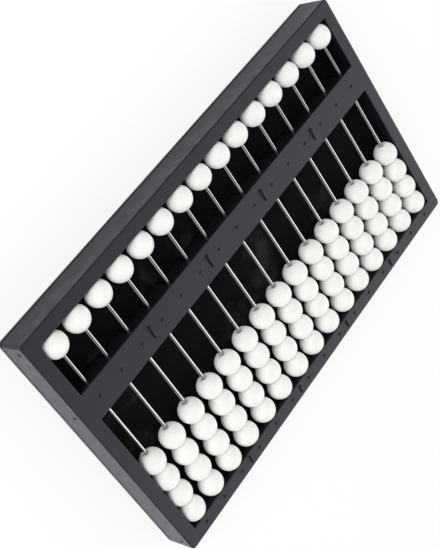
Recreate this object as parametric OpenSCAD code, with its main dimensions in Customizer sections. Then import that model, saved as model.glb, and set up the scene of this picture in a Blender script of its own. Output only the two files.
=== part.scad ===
// Abacus for the blind: a moulded frame with a dividing bar, steel rods laid in from behind and
// held by three lengthwise wires, sliding beads over soft pads, and a screwed back cover on feet.
// Millimetres. X runs along the columns, Y from the bottom rail to the top rail, Z up from the desk.

/* [Columns] */
// Number of columns
columns = 15; // [6:1:16]
// Distance from one column to the next
column_pitch = 12.5; // [11.5:0.1:16]
// Columns between one long tactile mark and the next
columns_per_mark = 3; // [2:1:5]
// Beads in a column below the dividing bar
lower_beads = 4; // [3:1:5]

/* [Beads] */
// Bead diameter across the rod
bead_diameter = 10.5; // [8.5:0.1:11.4]
// Bead length along the rod, between its flat ends
bead_length = 9.3; // [7:0.1:10]
// Hole through the bead
bead_hole = 2; // [1.7:0.05:3]
// Chamfer at each mouth of the hole
bead_chamfer = 0.3; // [0.1:0.05:0.6]
// Gap left between neighbouring beads, and between a bead and a rail
bead_gap = 0.15; // [0.05:0.01:0.4]
// Gap between an end column's beads and the end rail
bead_side_gap = 0.3; // [0.2:0.05:1.5]
// How far a bead slides above the bar
upper_travel = 14.9; // [8:0.1:25]
// How far a bead slides below the bar
lower_travel = 25.9; // [10:0.1:40]

/* [Frame] */
// Height of the frame above the back cover
frame_height = 12.4; // [11.5:0.1:16]
// Width of the two end rails
end_rail = 6; // [5.5:0.1:12]
// Width of the rail above the upper beads
top_rail = 5.9; // [5.5:0.1:12]
// Width of the rail below the lower beads
bottom_rail = 6.1; // [5.5:0.1:12]
// Width of the dividing bar
bar_width = 12.9; // [10:0.1:20]
// Thickness of the outer walls of the top and bottom rails
outer_wall = 1.8; // [1.2:0.1:2.2]
// Thickness of the rail and bar walls that face the beads
inner_wall = 1.1; // [0.8:0.1:1.4]
// Thickness of the cross ribs inside the rails and the bar
rib_thickness = 1.6; // [1:0.1:3]
// Radius of the frame's upright corners
corner_radius = 1.8; // [1:0.1:3.5]
// Radius of the frame's upper outer edge
edge_radius = 0.5; // [0.2:0.05:0.9]

/* [Tactile marks] */
// Diameter of the raised dot at each column
dot_diameter = 1.4; // [1:0.05:2.5]
// Height of the dots above the frame
dot_height = 0.5; // [0.2:0.05:0.7]
// Length of a long mark on the dividing bar
bar_mark_length = 5.8; // [3:0.1:9]
// Length of a long mark on the bottom rail
rail_mark_length = 3.6; // [2:0.1:5]
// Width of the long marks
mark_width = 1.5; // [0.8:0.05:2.5]
// Height of the long marks above the frame
mark_height = 0.75; // [0.2:0.05:1]

/* [Rods and wires] */
// Rod diameter
rod_diameter = 1.5; // [1.2:0.05:1.6]
// Depth of the rods' axes below the top of the frame
rod_depth = 2.7; // [2.2:0.1:3.4]
// How far a rod reaches into the top and bottom rails
rod_reach = 3.2; // [2.6:0.1:3.4]
// Clearance around a rod in its slots
rod_clearance = 0.05; // [0.02:0.01:0.1]
// Diameter of the lengthwise wires that hold the rods in their slots
wire_diameter = 1.1; // [0.8:0.05:1.2]
// Clearance around a wire
wire_clearance = 0.05; // [0.02:0.01:0.1]
// Depth of a wire's end inside the mouth of its hole
wire_recess = 0.4; // [0.2:0.1:1.5]
// Diameter of the wider mouth of a wire hole
wire_mouth = 1.6; // [1.4:0.1:2.2]
// Depth of the wider mouth
wire_mouth_depth = 0.3; // [0.2:0.1:1]
// Depth of the blind end of a wire hole from the far end of the frame
wire_stop = 2; // [1:0.1:4]

/* [Back] */
// Thickness of the back cover
cover_thickness = 2; // [1.6:0.1:3]
// Radius of the cover's lower outer edge
cover_edge_radius = 0.4; // [0.3:0.05:0.8]
// Height of the shadow gap between the cover and the frame
seam_gap = 0.5; // [0.2:0.05:0.7]
// Depth of the shadow gap from the outside
seam_depth = 0.8; // [0.4:0.05:0.9]
// Gap between a pad and the frame around it
pad_side_gap = 0.3; // [0.1:0.05:1]
// Gap between the pads and the beads that slide over them
pad_bead_gap = 0.2; // [0.1:0.05:0.5]
// Diameter of the rubber feet
foot_diameter = 10; // [6:0.5:14]
// Thickness of the rubber feet
foot_thickness = 1.2; // [0.9:0.1:2]
// Depth of the seats for the feet in the back cover
foot_seat_depth = 0.6; // [0.3:0.1:0.8]
// Clearance around a foot in its seat
foot_clearance = 0.1; // [0.05:0.05:0.5]
// Distance of the feet's centres in from the frame's ends and sides
foot_inset = 14; // [12:0.5:30]

/* [Screws] */
// Diameter of the screw shanks
screw_diameter = 2; // [1.6:0.1:2.4]
// Length of the screws from the top of the head to the tip
screw_length = 7.2; // [5:0.1:8]
// Length of the screws' pointed tips
screw_tip = 1; // [0.5:0.1:1.5]
// Diameter of the countersunk heads
screw_head = 4; // [3.4:0.1:4.4]
// Depth of a head's cone
screw_head_depth = 1; // [0.7:0.1:1.2]
// Depth of a head below the face of the cover
screw_sink = 0.1; // [0.05:0.05:0.3]
// Length of the cross recess in a head
cross_length = 2.2; // [1.4:0.1:2.8]
// Width of the slots of the cross recess
cross_width = 0.5; // [0.3:0.05:0.8]
// Depth of the cross recess
cross_depth = 0.8; // [0.4:0.1:1.2]
// Clearance around a screw in the cover and in its pilot hole
screw_clearance = 0.05; // [0.02:0.01:0.2]
// Diameter of the screw bosses inside the bar
boss_diameter = 5; // [4.2:0.1:8]

/* [Hidden] */
$fn = 64;
eps = 0.01;

// Plan sizes
window_length = (columns - 1) * column_pitch + bead_diameter + 2 * bead_side_gap;
upper_window = upper_travel + bead_length + 2 * bead_gap;
lower_window = lower_travel + lower_beads * bead_length + (lower_beads + 1) * bead_gap;
frame_length = window_length + 2 * end_rail;
frame_width = bottom_rail + lower_window + bar_width + upper_window + top_rail;

// Edges along Y, from the bottom rail up
rail_edge = -frame_width / 2 + bottom_rail;
bar_low = rail_edge + lower_window;
bar_high = bar_low + bar_width;
top_edge = bar_high + upper_window;
bar_middle = (bar_low + bar_high) / 2;

// Levels along Z, from the desk up
cover_bottom = foot_thickness - foot_seat_depth;
frame_bottom = cover_bottom + cover_thickness;
frame_top = frame_bottom + frame_height;
rod_level = frame_top - rod_depth;
channel_top = rod_level + rod_diameter / 2 + rod_clearance;
wire_level = rod_level - (rod_diameter + wire_diameter) / 2 - wire_clearance;
pad_top = rod_level - bead_diameter / 2 - pad_bead_gap;
screw_top = cover_bottom + screw_sink;

// Beads
bead_step = bead_length + bead_gap;
upper_bead_y = top_edge - bead_gap - bead_length / 2;
function lower_bead_y(place) = rail_edge + bead_gap + bead_length / 2 + place * bead_step;
function column_x(column) = (column - (columns + 1) / 2) * column_pitch;
// Beads of a column's lower stack that slide apart from the rest: one, two or three by turns
function inner_count(column) = 1 + column % (lower_beads - 1);

// Long marks and cross ribs stand between one group of columns and the next
mark_columns = [for (column = [columns_per_mark : columns_per_mark : columns - 1]) column];
mark_x = [for (column = mark_columns) column_x(column + 0.5)];
rib_x = concat([-window_length / 2 - rib_thickness / 2], mark_x, [window_length / 2 + rib_thickness / 2]);

// Retaining wires lie beside the bead-side walls of the rails and along the middle of the bar
wire_offset = inner_wall + wire_clearance + wire_diameter / 2;
top_wire_y = top_edge + wire_offset;
bottom_wire_y = rail_edge - wire_offset;

// Screws stand in the corners and in the bar, at its first and last marks
corner_x = (frame_length - end_rail) / 2;
top_screw_y = (frame_width - top_rail) / 2;
bottom_screw_y = -(frame_width - bottom_rail) / 2;
bar_screw_x = [mark_x[0], mark_x[len(mark_x) - 1]];
screw_places = concat(
    [for (x = [-corner_x, corner_x], y = [bottom_screw_y, top_screw_y]) [x, y]],
    [for (x = bar_screw_x) [x, bar_middle]]
);

foot_places = [
    for (x = [-1, 1], y = [-1, 1])
        [x * (frame_length / 2 - foot_inset), y * (frame_width / 2 - foot_inset)]
];

// Colours
moulding = "#3a393e";
felt = "#121214";
ivory = "#f3f3f1";
steel = "#c4c6c9";
rubber = "#1c1c1d";

// Node names
function two_digits(number) = str(number < 10 ? "0" : "", number);
function upper_name(column) = str("upper_bead_", two_digits(column));
function inner_name(column) = str("lower_beads_inner_", two_digits(column));
function outer_name(column) = str("lower_beads_outer_", two_digits(column));
FIXED_NODES = [
    "frame", "back_cover", "upper_pad", "lower_pad", "rods",
    "top_wire", "bar_wire", "bottom_wire", "screws", "rubber_feet"
];

// Shared shapes

// Rectangle with round corners, the outline of the frame and of the cover
module rounded_rectangle(length, width, radius) {
    square([length - 2 * radius, width], center = true);
    square([length, width - 2 * radius], center = true);
    for (x = [-1, 1], y = [-1, 1])
        translate([x * (length / 2 - radius), y * (width / 2 - radius)])
            circle(radius);
}

module quarter_disc(radius) {
    intersection() {
        circle(radius);
        square(radius);
    }
}

// Quarter-round strips around the top of a rounded rectangle, at its edges and its corners
module edge_rounding(length, width, corner, edge) {
    for (turn = [0, 180])
        rotate(turn) {
            translate([-length / 2 + corner, width / 2 - edge, 0])
                rotate([90, 0, 90])
                    linear_extrude(length - 2 * corner) quarter_disc(edge);
            translate([length / 2 - edge, width / 2 - corner, 0])
                rotate([90, 0, 0])
                    linear_extrude(width - 2 * corner) quarter_disc(edge);
            translate([length / 2 - corner, width / 2 - corner, 0])
                rotate_extrude(angle = 90)
                    translate([corner - edge, 0]) quarter_disc(edge);
            translate([-length / 2 + corner, width / 2 - corner, 0])
                rotate(90)
                    rotate_extrude(angle = 90)
                        translate([corner - edge, 0]) quarter_disc(edge);
        }
}

// Slab standing on z = 0 whose upper outer edge is rounded
module soft_slab(length, width, height, corner, edge) {
    linear_extrude(height - edge)
        rounded_rectangle(length, width, corner);
    translate([0, 0, height - edge]) {
        linear_extrude(edge)
            rounded_rectangle(length - 2 * edge, width - 2 * edge, corner - edge);
        edge_rounding(length, width, corner, edge);
    }
}

// Block between two edges along Y, centred on X
module y_block(length, low_y, high_y, low_z, high_z) {
    translate([-length / 2, low_y, low_z])
        cube([length, high_y - low_y, high_z - low_z]);
}

module along_x(from_x, to_x, y, z, diameter) {
    translate([from_x, y, z])
        rotate([0, 90, 0]) cylinder(h = to_x - from_x, d = diameter);
}

module along_y(x, from_y, to_y, z, diameter) {
    translate([x, to_y, z])
        rotate([90, 0, 0]) cylinder(h = to_y - from_y, d = diameter);
}

// Hollow of a rail or of the bar, open to the back and divided by the cross ribs
module ribbed_channel(low_y, high_y) {
    for (bay = [0 : len(rib_x) - 2]) {
        from_x = rib_x[bay] + rib_thickness / 2;
        to_x = rib_x[bay + 1] - rib_thickness / 2;
        translate([from_x, low_y, frame_bottom - eps])
            cube([to_x - from_x, high_y - low_y, channel_top - frame_bottom + eps]);
    }
}

// Slot that a rod is laid into from behind: a round seat above straight sides
module rod_slot(x) {
    slot = rod_diameter + 2 * rod_clearance;
    low_y = rail_edge - inner_wall - eps;
    high_y = top_edge + inner_wall + eps;
    along_y(x, low_y, high_y, rod_level, slot);
    translate([x - slot / 2, low_y, frame_bottom - eps])
        cube([slot, high_y - low_y, rod_level - frame_bottom + eps]);
}

// Hole for a retaining wire, open in a wider mouth at the left end of the frame and blind at the right
module wire_hole(y) {
    left_end = -frame_length / 2;
    along_x(left_end - eps, frame_length / 2 - wire_stop, y, wire_level,
        wire_diameter + 2 * wire_clearance);
    along_x(left_end - eps, left_end + wire_mouth_depth, y, wire_level, wire_mouth);
}

// Countersunk screw standing on its head at z = 0, with room added all round for its hole
module screw_form(extra) {
    shank = screw_diameter / 2 + extra;
    cylinder(h = screw_head_depth, r1 = screw_head / 2 + extra, r2 = shank);
    cylinder(h = screw_length - screw_tip, r = shank);
    translate([0, 0, screw_length - screw_tip])
        cylinder(h = screw_tip + extra, r1 = shank, r2 = shank / 4);
}

module cross_recess() {
    for (turn = [0, 90])
        rotate(turn)
            translate([-cross_length / 2, -cross_width / 2, -eps])
                cube([cross_length, cross_width, cross_depth + eps]);
}

// Raised dot: the cap of a ball sunk into the frame
module tactile_dot(x, y) {
    ball = (dot_diameter * dot_diameter / 4 + dot_height * dot_height) / (2 * dot_height);
    translate([x, y, frame_top + dot_height - ball])
        sphere(ball);
}

// Raised line across the bar or the rail, with round ends
module long_mark(x, y, length) {
    translate([x, y, frame_top - mark_height])
        linear_extrude(2 * mark_height) {
            square([mark_width, length - mark_width], center = true);
            for (end = [-1, 1])
                translate([0, end * (length - mark_width) / 2]) circle(d = mark_width);
        }
}

module bead(column, y) {
    translate([column_x(column), y, rod_level])
        rotate([90, 0, 0])
            rotate_extrude() bead_section();
}

// Half section of a bead: a ball cut flat at both ends, bored and chamfered
module bead_section() {
    difference() {
        intersection() {
            circle(d = bead_diameter);
            translate([bead_hole / 2, -bead_length / 2])
                square([bead_diameter / 2, bead_length]);
        }
        for (end = [-1, 1])
            translate([bead_hole / 2, end * bead_length / 2])
                rotate(45) square(bead_chamfer * sqrt(2), center = true);
    }
}

// Fixed pieces

module frame() {
    color(moulding) {
        difference() {
            translate([0, 0, frame_bottom])
                soft_slab(frame_length, frame_width, frame_height, corner_radius, edge_radius);
            y_block(window_length, rail_edge, bar_low, frame_bottom - eps, frame_top + eps);
            y_block(window_length, bar_high, top_edge, frame_bottom - eps, frame_top + eps);
            ribbed_channel(top_edge + inner_wall, frame_width / 2 - outer_wall);
            ribbed_channel(outer_wall - frame_width / 2, rail_edge - inner_wall);
            difference() {
                ribbed_channel(bar_low + inner_wall, bar_high - inner_wall);
                for (x = bar_screw_x)
                    translate([x, bar_middle, 0]) cylinder(h = frame_top, d = boss_diameter);
            }
            for (column = [1 : columns])
                rod_slot(column_x(column));
            for (y = [top_wire_y, bar_middle, bottom_wire_y])
                wire_hole(y);
            for (place = screw_places)
                translate([place[0], place[1], screw_top])
                    screw_form(screw_clearance);
        }
        for (column = [1 : columns]) {
            tactile_dot(column_x(column), bar_middle);
            tactile_dot(column_x(column), bottom_screw_y);
        }
        for (x = mark_x) {
            long_mark(x, bar_middle, bar_mark_length);
            long_mark(x, bottom_screw_y, rail_mark_length);
        }
    }
}

// Plate with its lower edge rounded, and a step on it that the frame stands on
module back_cover() {
    color(moulding)
        difference() {
            union() {
                translate([0, 0, frame_bottom - seam_gap])
                    rotate([180, 0, 0])
                        soft_slab(frame_length, frame_width, cover_thickness - seam_gap, corner_radius,
                            cover_edge_radius);
                translate([0, 0, frame_bottom - 2 * seam_gap])
                    linear_extrude(2 * seam_gap)
                        rounded_rectangle(frame_length - 2 * seam_depth, frame_width - 2 * seam_depth,
                            corner_radius - seam_depth);
            }
            for (place = screw_places)
                translate([place[0], place[1], screw_top]) {
                    screw_form(screw_clearance);
                    translate([0, 0, -screw_sink - eps])
                        cylinder(h = screw_sink + 2 * eps, d = screw_head + 2 * screw_clearance);
                }
            for (place = foot_places)
                translate([place[0], place[1], cover_bottom - eps])
                    cylinder(h = foot_seat_depth + eps, d = foot_diameter + 2 * foot_clearance);
        }
}

module pad(low_y, high_y) {
    color(felt)
        y_block(window_length - 2 * pad_side_gap, low_y + pad_side_gap, high_y - pad_side_gap,
            frame_bottom, pad_top);
}

module upper_pad() {
    pad(bar_high, top_edge);
}

module lower_pad() {
    pad(rail_edge, bar_low);
}

module rods() {
    color(steel)
        for (column = [1 : columns])
            along_y(column_x(column), rail_edge - rod_reach, top_edge + rod_reach, rod_level,
                rod_diameter);
}

module retaining_wire(y) {
    color(steel)
        along_x(wire_recess - frame_length / 2, frame_length / 2 - wire_stop - wire_clearance, y,
            wire_level, wire_diameter);
}

module top_wire() {
    retaining_wire(top_wire_y);
}

module bar_wire() {
    retaining_wire(bar_middle);
}

module bottom_wire() {
    retaining_wire(bottom_wire_y);
}

module screws() {
    color(steel)
        for (place = screw_places)
            translate([place[0], place[1], screw_top])
                difference() {
                    screw_form(0);
                    cross_recess();
                }
}

module rubber_feet() {
    color(rubber)
        for (place = foot_places)
            translate([place[0], place[1], 0])
                cylinder(h = foot_thickness, d = foot_diameter);
}

// Beads

module upper_bead(column) {
    color(ivory) bead(column, upper_bead_y);
}

// Lower beads next to the bar, the first to be pushed up
module lower_beads_inner(column) {
    color(ivory)
        for (place = [lower_beads - inner_count(column) : lower_beads - 1])
            bead(column, lower_bead_y(place));
}

// Lower beads next to the bottom rail, which push the others ahead of them
module lower_beads_outer(column) {
    color(ivory)
        for (place = [0 : lower_beads - inner_count(column) - 1])
            bead(column, lower_bead_y(place));
}

frame();
back_cover();
upper_pad();
lower_pad();
rods();
top_wire();
bar_wire();
bottom_wire();
screws();
rubber_feet();
for (column = [1 : columns]) {
    upper_bead(column);
    lower_beads_inner(column);
    lower_beads_outer(column);
}
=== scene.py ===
"""The abacus for the blind in a pale studio: a moulded frame with a dividing bar and tactile marks, white
beads on steel rods over felt pads, and a back cover with screws and feet. Lengths are in metres, in the
solids' own frame."""
import math

import bmesh
import bpy
from mathutils import Matrix, Vector


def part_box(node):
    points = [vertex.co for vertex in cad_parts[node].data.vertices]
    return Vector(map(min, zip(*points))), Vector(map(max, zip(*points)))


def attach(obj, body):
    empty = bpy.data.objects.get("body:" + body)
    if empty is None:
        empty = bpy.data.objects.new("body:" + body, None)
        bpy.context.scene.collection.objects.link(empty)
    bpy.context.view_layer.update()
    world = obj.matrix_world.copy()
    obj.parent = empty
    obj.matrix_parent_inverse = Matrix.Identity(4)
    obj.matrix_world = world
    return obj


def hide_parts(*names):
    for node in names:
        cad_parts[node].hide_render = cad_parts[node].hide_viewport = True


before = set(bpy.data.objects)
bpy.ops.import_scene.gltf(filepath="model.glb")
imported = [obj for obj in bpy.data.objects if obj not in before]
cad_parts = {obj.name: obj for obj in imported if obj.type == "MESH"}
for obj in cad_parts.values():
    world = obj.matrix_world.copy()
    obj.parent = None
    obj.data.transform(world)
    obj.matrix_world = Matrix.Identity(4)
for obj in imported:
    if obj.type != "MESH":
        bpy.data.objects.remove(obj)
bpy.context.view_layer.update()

MM = 0.001

# Sizes of the moulding that its box does not give
CORNER_RADIUS = 1.8 * MM
TOP_EDGE = 0.5 * MM
COVER_EDGE = 0.4 * MM
SEAM_EDGE = 0.15 * MM
SEAM_GAP = 0.5 * MM
SEAM_DEPTH = 0.8 * MM
WINDOW_CORNER = 0.35 * MM
WINDOW_EDGE = 0.25 * MM
INNER_WALL = 1.1 * MM
OUTER_WALL = 1.8 * MM
RIB = 1.6 * MM
COLUMNS_PER_MARK = 3

# Felt pads: the gap beside them, the rounding of their edges, how deep and how wide their matting is, and
# how far apart their points are
PAD_GAP = 0.3 * MM
PAD_EDGE = 0.5 * MM
MATTING_DEPTH = 0.18 * MM
MATTING_SIZE = 2.2 * MM
PAD_SPACING = 0.9 * MM

# Tactile marks
MARK_HEIGHT = 0.75 * MM
MARK_WIDTH = 1.5 * MM
DOT_HEIGHT = 0.5 * MM
DOT_DIAMETER = 1.4 * MM
DOT_FOOT = 0.1 * MM
BAR_MARK = 5.8 * MM
RAIL_MARK = 3.6 * MM

# Beads
BEAD_LENGTH = 9.3 * MM
BEAD_HOLE = 2 * MM
BEAD_MOUTH = 0.35 * MM
BEAD_BLEND = 1 * MM
BEAD_GAP = 0.15 * MM

# Rods, wires, screws and feet
ROD_DIAMETER = 1.5 * MM
ROD_FIT = 0.05 * MM
ROD_EDGE = 0.2 * MM
ROD_SLOT = 1.65 * MM
WIRE_FIT = 0.05 * MM
WIRE_MOUTH = 1.6 * MM
WIRE_MOUTH_DEPTH = 0.3 * MM
SCREW_SHANK = 2 * MM
SCREW_HEAD = 4 * MM
SCREW_CONE = 1 * MM
SCREW_TIP = 1 * MM
SCREW_FIT = 0.05 * MM
CROSS_LENGTH = 2.2 * MM
CROSS_WIDTH = 0.5 * MM
CROSS_DEPTH = 0.8 * MM
FOOT_DIAMETER = 10 * MM
FOOT_EDGE = 0.35 * MM
FOOT_SEAT = 0.6 * MM
FOOT_FIT = 0.1 * MM

# A cutter starts this far outside the face that it cuts
CUT_PAST = 2 * MM

# Points nearer to each other than this are merged
SAME_POINT = 0.0005 * MM

# The outer walls' painted reflection fades in between these depths under the walls' faces
REFLECTION_STARTS = 0.15 * MM
REFLECTION_WHOLE = 0.05 * MM

# The photograph's camera: where it stands, the point that it centres, its roll, and its lens and sensor in
# the camera's own millimetres
CAMERA_PLACE = Vector((-213.1, 223.7, 344.2)) * MM
CAMERA_TARGET = Vector((-18.7, 12.45, 15.0)) * MM
CAMERA_ROLL = math.radians(93.85)
CAMERA_LENS = 74.56
CAMERA_SENSOR = 36

# The studio's floor lies a hair below the feet; it glows white by these shares, as seen and as mirrored
FLOOR_REACH = 40
FLOOR_DROP = 0.02 * MM
FLOOR_GLOW_SEEN = 0.8
FLOOR_GLOW_MIRRORED = 0.25

# The studio's lamps: place and side in metres, and power in watts
SOFT_BOXES = {
    "front_box": ((-0.6, -0.68, 0.5), 0.4, 2.6),
    "camera_box": ((-0.7, 0.55, 0.5), 0.5, 4.3),
    "right_box": ((0.75, 0.4, 0.5), 0.5, 3.1),
}

# How a turned piece's own axis lies
ALONG_Y = (-math.pi / 2, 0, 0)
UPRIGHT = (0, 0, 0)


# Places that follow from the solids' boxes

def middle(node):
    low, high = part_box(node)
    return (low + high) / 2


def named_nodes(start):
    return sorted(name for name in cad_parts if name.startswith(start))


frame_low, frame_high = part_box("frame")
frame_top = frame_high.z - MARK_HEIGHT
cover_low, cover_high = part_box("back_cover")
upper_pad_low, upper_pad_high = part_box("upper_pad")
lower_pad_low, lower_pad_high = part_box("lower_pad")
window_end = upper_pad_high.x + PAD_GAP
top_edge = upper_pad_high.y + PAD_GAP
bar_high = upper_pad_low.y - PAD_GAP
bar_low = lower_pad_high.y + PAD_GAP
rail_edge = lower_pad_low.y - PAD_GAP
bar_middle = (bar_low + bar_high) / 2
rail_middle = (frame_low.y + rail_edge) / 2

upper_beads = named_nodes("upper_bead_")
columns = len(upper_beads)
bead_low, bead_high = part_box(upper_beads[0])
bead_diameter = bead_high.z - bead_low.z
first_column = middle(upper_beads[0]).x
pitch = (middle(upper_beads[-1]).x - first_column) / (columns - 1)
rod_low, rod_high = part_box("rods")
rod_level = middle("rods").z
mark_columns = range(COLUMNS_PER_MARK, columns, COLUMNS_PER_MARK)
mark_x = [first_column + (column - 0.5) * pitch for column in mark_columns]
screw_low, screw_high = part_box("screws")
foot_low, foot_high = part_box("rubber_feet")


# Small helpers

def add(tree, kind, links=None, **settings):
    """One node of a tree: its settings, and its inputs by name or place, each a socket or a value."""
    node = tree.nodes.new(kind)
    for name, value in settings.items():
        setattr(node, name, value)
    for place, value in (links or {}).items():
        if isinstance(value, bpy.types.NodeSocket):
            tree.links.new(value, node.inputs[place])
        else:
            node.inputs[place].default_value = value
    return node


def linear(hex_colour):
    """Linear RGBA of an sRGB hex value."""
    channels = [int(hex_colour[place:place + 2], 16) / 255 for place in (1, 3, 5)]
    return (*[c / 12.92 if c <= 0.04045 else ((c + 0.055) / 1.055) ** 2.4 for c in channels], 1)


def rounded_chain(corners, steps=4):
    """Points of a chain of straight lines whose corners, each (x, y, radius), are rounded by arcs."""
    points = []
    for index, (x, y, radius) in enumerate(corners):
        here = Vector((x, y))
        if radius == 0:
            points.append(here)
            continue
        before = (Vector(corners[index - 1][:2]) - here).normalized()
        after = (Vector(corners[(index + 1) % len(corners)][:2]) - here).normalized()
        half = before.angle(after) / 2
        start = here + before * radius / math.tan(half)
        centre = here + (before + after).normalized() * radius / math.sin(half)
        arm = start - centre
        turn = math.copysign(math.pi - 2 * half, before.cross(after))
        for step in range(steps + 1):
            angle = -turn * step / steps
            cos, sin = math.cos(angle), math.sin(angle)
            points.append(centre + Vector((arm.x * cos - arm.y * sin, arm.x * sin + arm.y * cos)))
    return points


def rectangle(low_x, low_y, high_x, high_y, radius):
    """Corners of a rectangle for rounded_chain, anticlockwise."""
    places = ((high_x, high_y), (low_x, high_y), (low_x, low_y), (high_x, low_y))
    return [(x, y, radius) for x, y in places]


def new_piece(name, mesh):
    piece = bpy.data.objects.new(name, mesh)
    bpy.context.scene.collection.objects.link(piece)
    return piece


def from_bmesh(name, shape):
    """A piece whose faces point outwards, made from a bmesh."""
    bmesh.ops.remove_doubles(shape, verts=shape.verts, dist=SAME_POINT)
    bmesh.ops.recalc_face_normals(shape, faces=shape.faces)
    mesh = bpy.data.meshes.new(name)
    shape.to_mesh(mesh)
    shape.free()
    return new_piece(name, mesh)


def evaluated_mesh(piece):
    """The piece's mesh with its modifiers applied, and the modifiers removed."""
    depsgraph = bpy.context.evaluated_depsgraph_get()
    mesh = bpy.data.meshes.new_from_object(piece.evaluated_get(depsgraph), depsgraph=depsgraph)
    piece.modifiers.clear()
    return mesh


def smooth(piece, sharp_angle=35):
    """Smooth shading that breaks at edges sharper than the angle."""
    piece.data.shade_smooth()
    piece.data.set_sharp_from_angle(angle=math.radians(sharp_angle))


def paint(piece, material):
    """Leaves a piece with one material, on its cut faces too."""
    piece.data.materials.clear()
    piece.data.materials.append(material)


def dress(piece, body, slot, *nodes):
    """Seats a piece on its body in place of the nodes that it stands for."""
    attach(piece, body)
    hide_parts(*nodes)


# Materials. A colour Mix node takes its share at 0 and its colours at 6 and 7, and gives its result at 2

def new_material(name):
    """A material with its Principled shader and the Object coordinates that its patterns read."""
    material = bpy.data.materials.new(name)
    material.use_nodes = True
    tree = material.node_tree
    tree.nodes.clear()
    shader = add(tree, "ShaderNodeBsdfPrincipled")
    add(tree, "ShaderNodeOutputMaterial", {"Surface": shader.outputs[0]})
    place = add(tree, "ShaderNodeTexCoord").outputs["Object"]
    return material, tree, shader, place


def edge_mask(tree, radius, flat=0.995, sharp=0.9):
    """1 along edges, 0 on flats: how far the normal rounded over the radius leaves the true one."""
    rounded = add(tree, "ShaderNodeBevel", {"Radius": radius}, samples=4)
    true = add(tree, "ShaderNodeNewGeometry")
    links = {0: rounded.outputs[0], 1: true.outputs["Normal"]}
    likeness = add(tree, "ShaderNodeVectorMath", links, operation="DOT_PRODUCT")
    links = {"Value": likeness.outputs["Value"], "From Min": flat, "From Max": sharp}
    return add(tree, "ShaderNodeMapRange", links).outputs[0]


def charcoal_abs():
    """Moulded ABS from a spark-eroded tool: charcoal, satin, finely grained, and worn paler along its
    edges; its outer walls are painted paler as a painted reflection of the floor."""
    material, tree, shader, place = new_material("moulded_charcoal_abs")
    cloud = add(tree, "ShaderNodeTexNoise", {"Vector": place, "Scale": 1 / (22 * MM), "Detail": 3})
    links = {0: cloud.outputs[0], 6: linear("#0d0c10"), 7: linear("#131217")}
    body = add(tree, "ShaderNodeMix", links, data_type="RGBA")
    rub = add(tree, "ShaderNodeTexNoise", {"Vector": place, "Scale": 1 / (3 * MM), "Detail": 4})
    links = {0: edge_mask(tree, 0.4 * MM), 1: rub.outputs[0]}
    wear = add(tree, "ShaderNodeMath", links, operation="MULTIPLY")
    links = {0: wear.outputs[0], 6: body.outputs[2], 7: linear("#2b2a30")}
    worn = add(tree, "ShaderNodeMix", links, data_type="RGBA")
    # The two end walls are painted paler in soft clouds: a painted reflection of the bright floor beside
    # them
    axes = add(tree, "ShaderNodeSeparateXYZ", {0: place})
    outward = add(tree, "ShaderNodeMath", {0: axes.outputs["X"]}, operation="ABSOLUTE")
    links = {"Value": outward.outputs[0], "From Min": frame_high.x - REFLECTION_STARTS,
             "From Max": frame_high.x - REFLECTION_WHOLE}
    ends = add(tree, "ShaderNodeMapRange", links)
    clouds = add(tree, "ShaderNodeTexNoise", {"Vector": place, "Scale": 1 / (3 * MM), "Detail": 5})
    links = {"Value": clouds.outputs[0], "From Min": -0.1, "From Max": 1.1}
    spread = add(tree, "ShaderNodeMapRange", links)
    links = {0: ends.outputs[0], 1: spread.outputs[0]}
    painted_end_reflection = add(tree, "ShaderNodeMath", links, operation="MULTIPLY")
    # Painted reflection: the pale colour that the end walls take
    links = {0: painted_end_reflection.outputs[0], 6: worn.outputs[2], 7: linear("#6c6b72")}
    with_end_reflection = add(tree, "ShaderNodeMix", links, data_type="RGBA")
    # The long walls are painted paler in larger cloudy patches, most near the top: a painted sheen and
    # reflection of the floor, with painted shade towards the base
    across = add(tree, "ShaderNodeMath", {0: axes.outputs["Y"]}, operation="ABSOLUTE")
    links = {"Value": across.outputs[0], "From Min": frame_high.y - REFLECTION_STARTS,
             "From Max": frame_high.y - REFLECTION_WHOLE}
    sides = add(tree, "ShaderNodeMapRange", links)
    links = {"Value": axes.outputs["Z"], "From Min": cover_high.z, "From Max": frame_top}
    height = add(tree, "ShaderNodeMapRange", links)
    sheen_clouds = add(tree, "ShaderNodeTexNoise", {"Vector": place, "Scale": 1 / (7 * MM), "Detail": 4})
    links = {"Value": sheen_clouds.outputs[0], "From Min": 0.4, "From Max": 0.64, "To Max": height.outputs[0]}
    sheen_patches = add(tree, "ShaderNodeMapRange", links)
    links = {0: sides.outputs[0], 1: sheen_patches.outputs[0]}
    painted_wall_sheen = add(tree, "ShaderNodeMath", links, operation="MULTIPLY")
    # Painted sheen: the paler bluish colour of the long walls
    links = {0: painted_wall_sheen.outputs[0], 6: with_end_reflection.outputs[2], 7: linear("#3c3b46")}
    colour = add(tree, "ShaderNodeMix", links, data_type="RGBA")
    tree.links.new(colour.outputs[2], shader.inputs["Base Color"])
    # The tool's grain is near 0.1 mm; it is drawn at 0.4 mm so that it shows
    grain = add(tree, "ShaderNodeTexNoise", {"Vector": place, "Scale": 1 / (0.4 * MM), "Detail": 2})
    links = {"Value": grain.outputs[0], "To Min": 0.4, "To Max": 0.52}
    dullness = add(tree, "ShaderNodeMapRange", links)
    tree.links.new(dullness.outputs[0], shader.inputs["Roughness"])
    links = {"Height": grain.outputs[0], "Strength": 0.35, "Distance": 0.02 * MM}
    bump = add(tree, "ShaderNodeBump", links)
    tree.links.new(bump.outputs[0], shader.inputs["Normal"])
    shader.inputs["IOR"].default_value = 1.53
    shader.inputs["Specular Tint"].default_value = linear("#f1eeff")
    return material


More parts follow.
